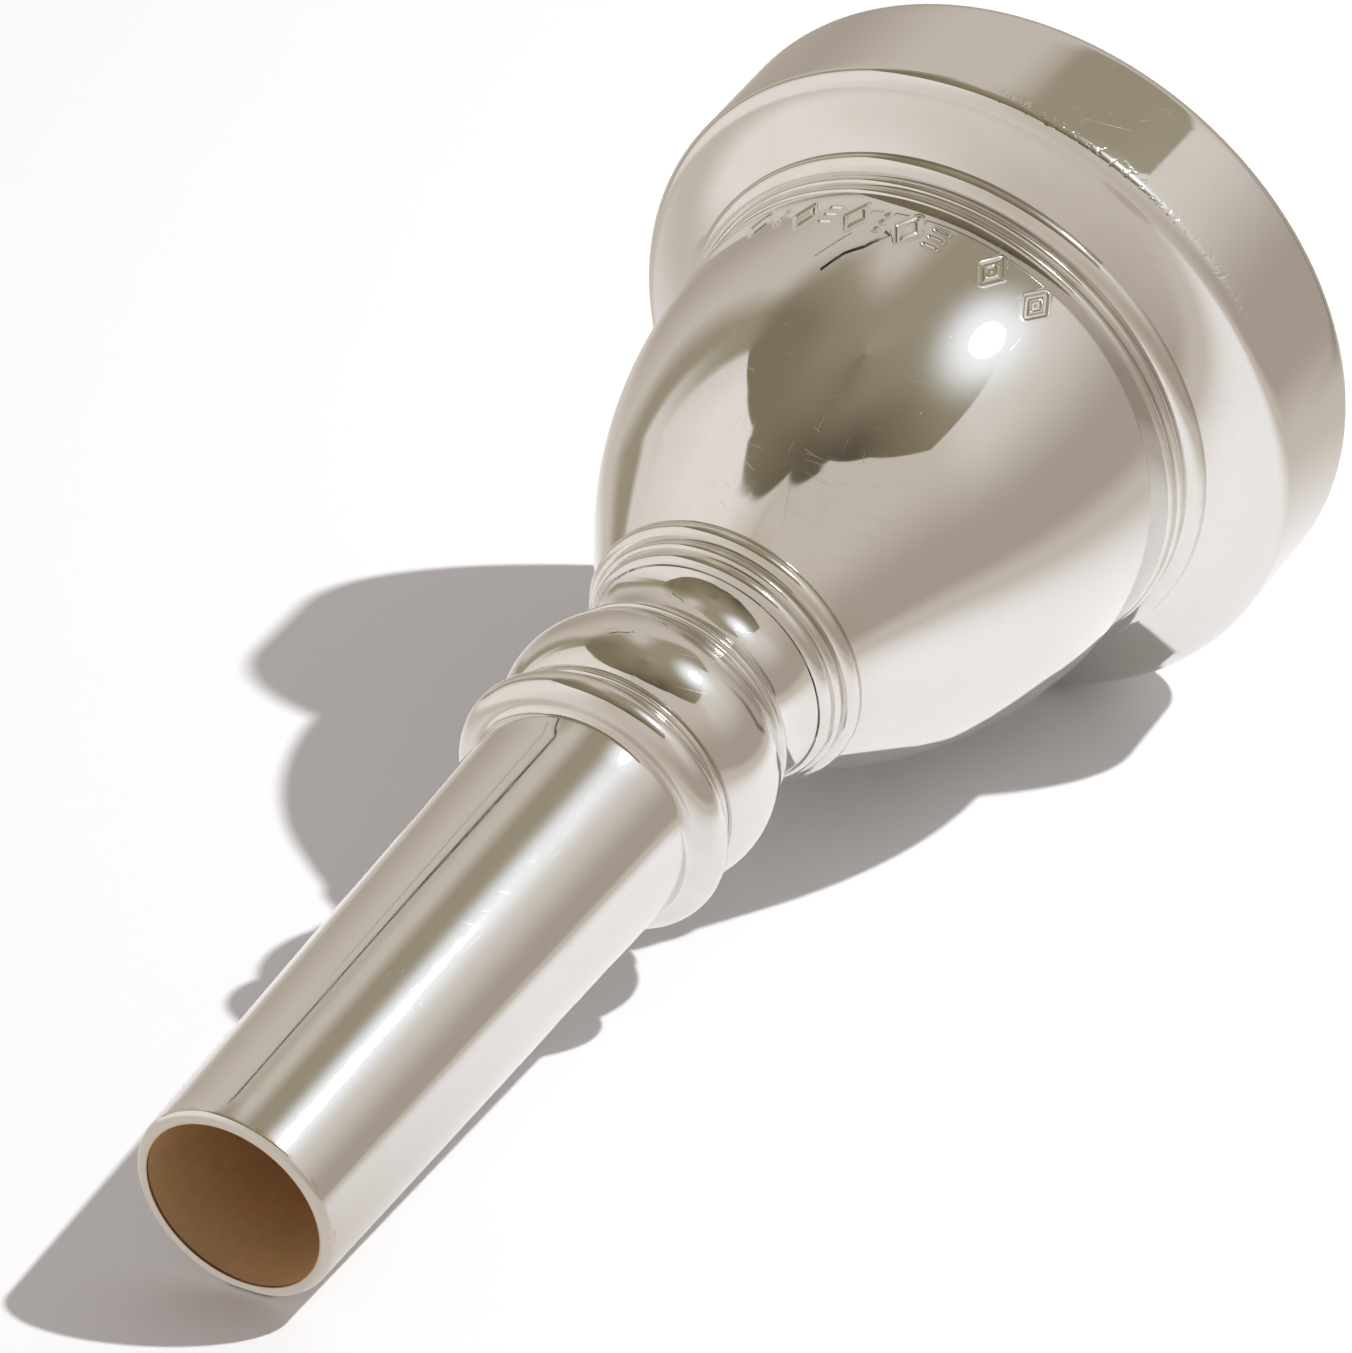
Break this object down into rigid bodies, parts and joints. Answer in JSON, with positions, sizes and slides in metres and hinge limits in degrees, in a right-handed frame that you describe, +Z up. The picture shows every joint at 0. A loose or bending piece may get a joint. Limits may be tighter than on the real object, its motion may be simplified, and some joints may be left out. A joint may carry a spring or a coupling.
{
  "type": "tuba mouthpiece",
  "caption": "Turned brass-instrument mouthpiece with a deep cup, rounded rim, ringed neck and long tapered shank, lying on its side.",
  "frame": {"origin": "centre of the object's footprint on the surface it lies on, at the bottom of its bounding box", "axes": "+X along the mouthpiece's length from the shank end towards the rim, +Z up from the surface it lies on, +Y across it. Its own axis lies in the XZ plane and climbs 10.776 degrees towards the rim"},
  "size_m": [0.1022, 0.0472, 0.0478],
  "materials": {
    "brass": "bare turned brass, dulled, seen only in the throat and the backbore",
    "silver": "polished silver plate with fine handling scratches"
  },
  "bodies": {
    "root": {"brass_body": "brass", "silver_plate": "silver"}
  },
  "joints": []
}
